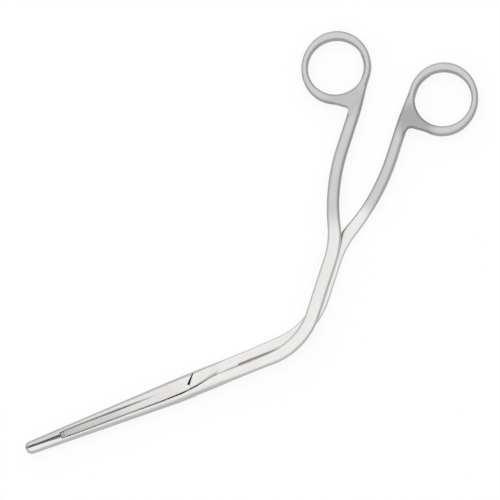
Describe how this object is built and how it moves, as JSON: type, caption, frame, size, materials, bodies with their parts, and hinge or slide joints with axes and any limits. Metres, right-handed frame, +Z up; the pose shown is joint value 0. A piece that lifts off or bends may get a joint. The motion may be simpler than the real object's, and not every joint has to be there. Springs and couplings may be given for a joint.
{
  "type": "angled ring-handled forceps with serrated jaws",
  "caption": "Long angled steel forceps with finger rings, a lap joint and slender half-round jaws that are toothed at the tip.",
  "frame": {"origin": "middle of the outline in plan, on the surface that the tool lies on", "axes": "+X along the straight shaft from the jaw tips towards the knee, +Y square to it towards the side that the handles bend to, +Z up from the back of the lap joint to its front"},
  "size_m": [0.2324, 0.1268, 0.0066],
  "materials": {
    "satin_steel": "satin, finely brushed along the limbs and matte by the rings",
    "screw_steel": "polished, turned head with a slot"
  },
  "bodies": {
    "front_half": {"front_limb": "satin_steel", "pivot_screw": "screw_steel"},
    "back_half": {"back_limb": "satin_steel"}
  },
  "joints": [
    {"name": "jaw_opening", "type": "hinge", "parent": "front_half", "child": "back_half", "pos_m": [-0.03122, -0.06022, 0.0032], "axis": [0, 0, -1], "range_deg": [0, 25]}
  ]
}
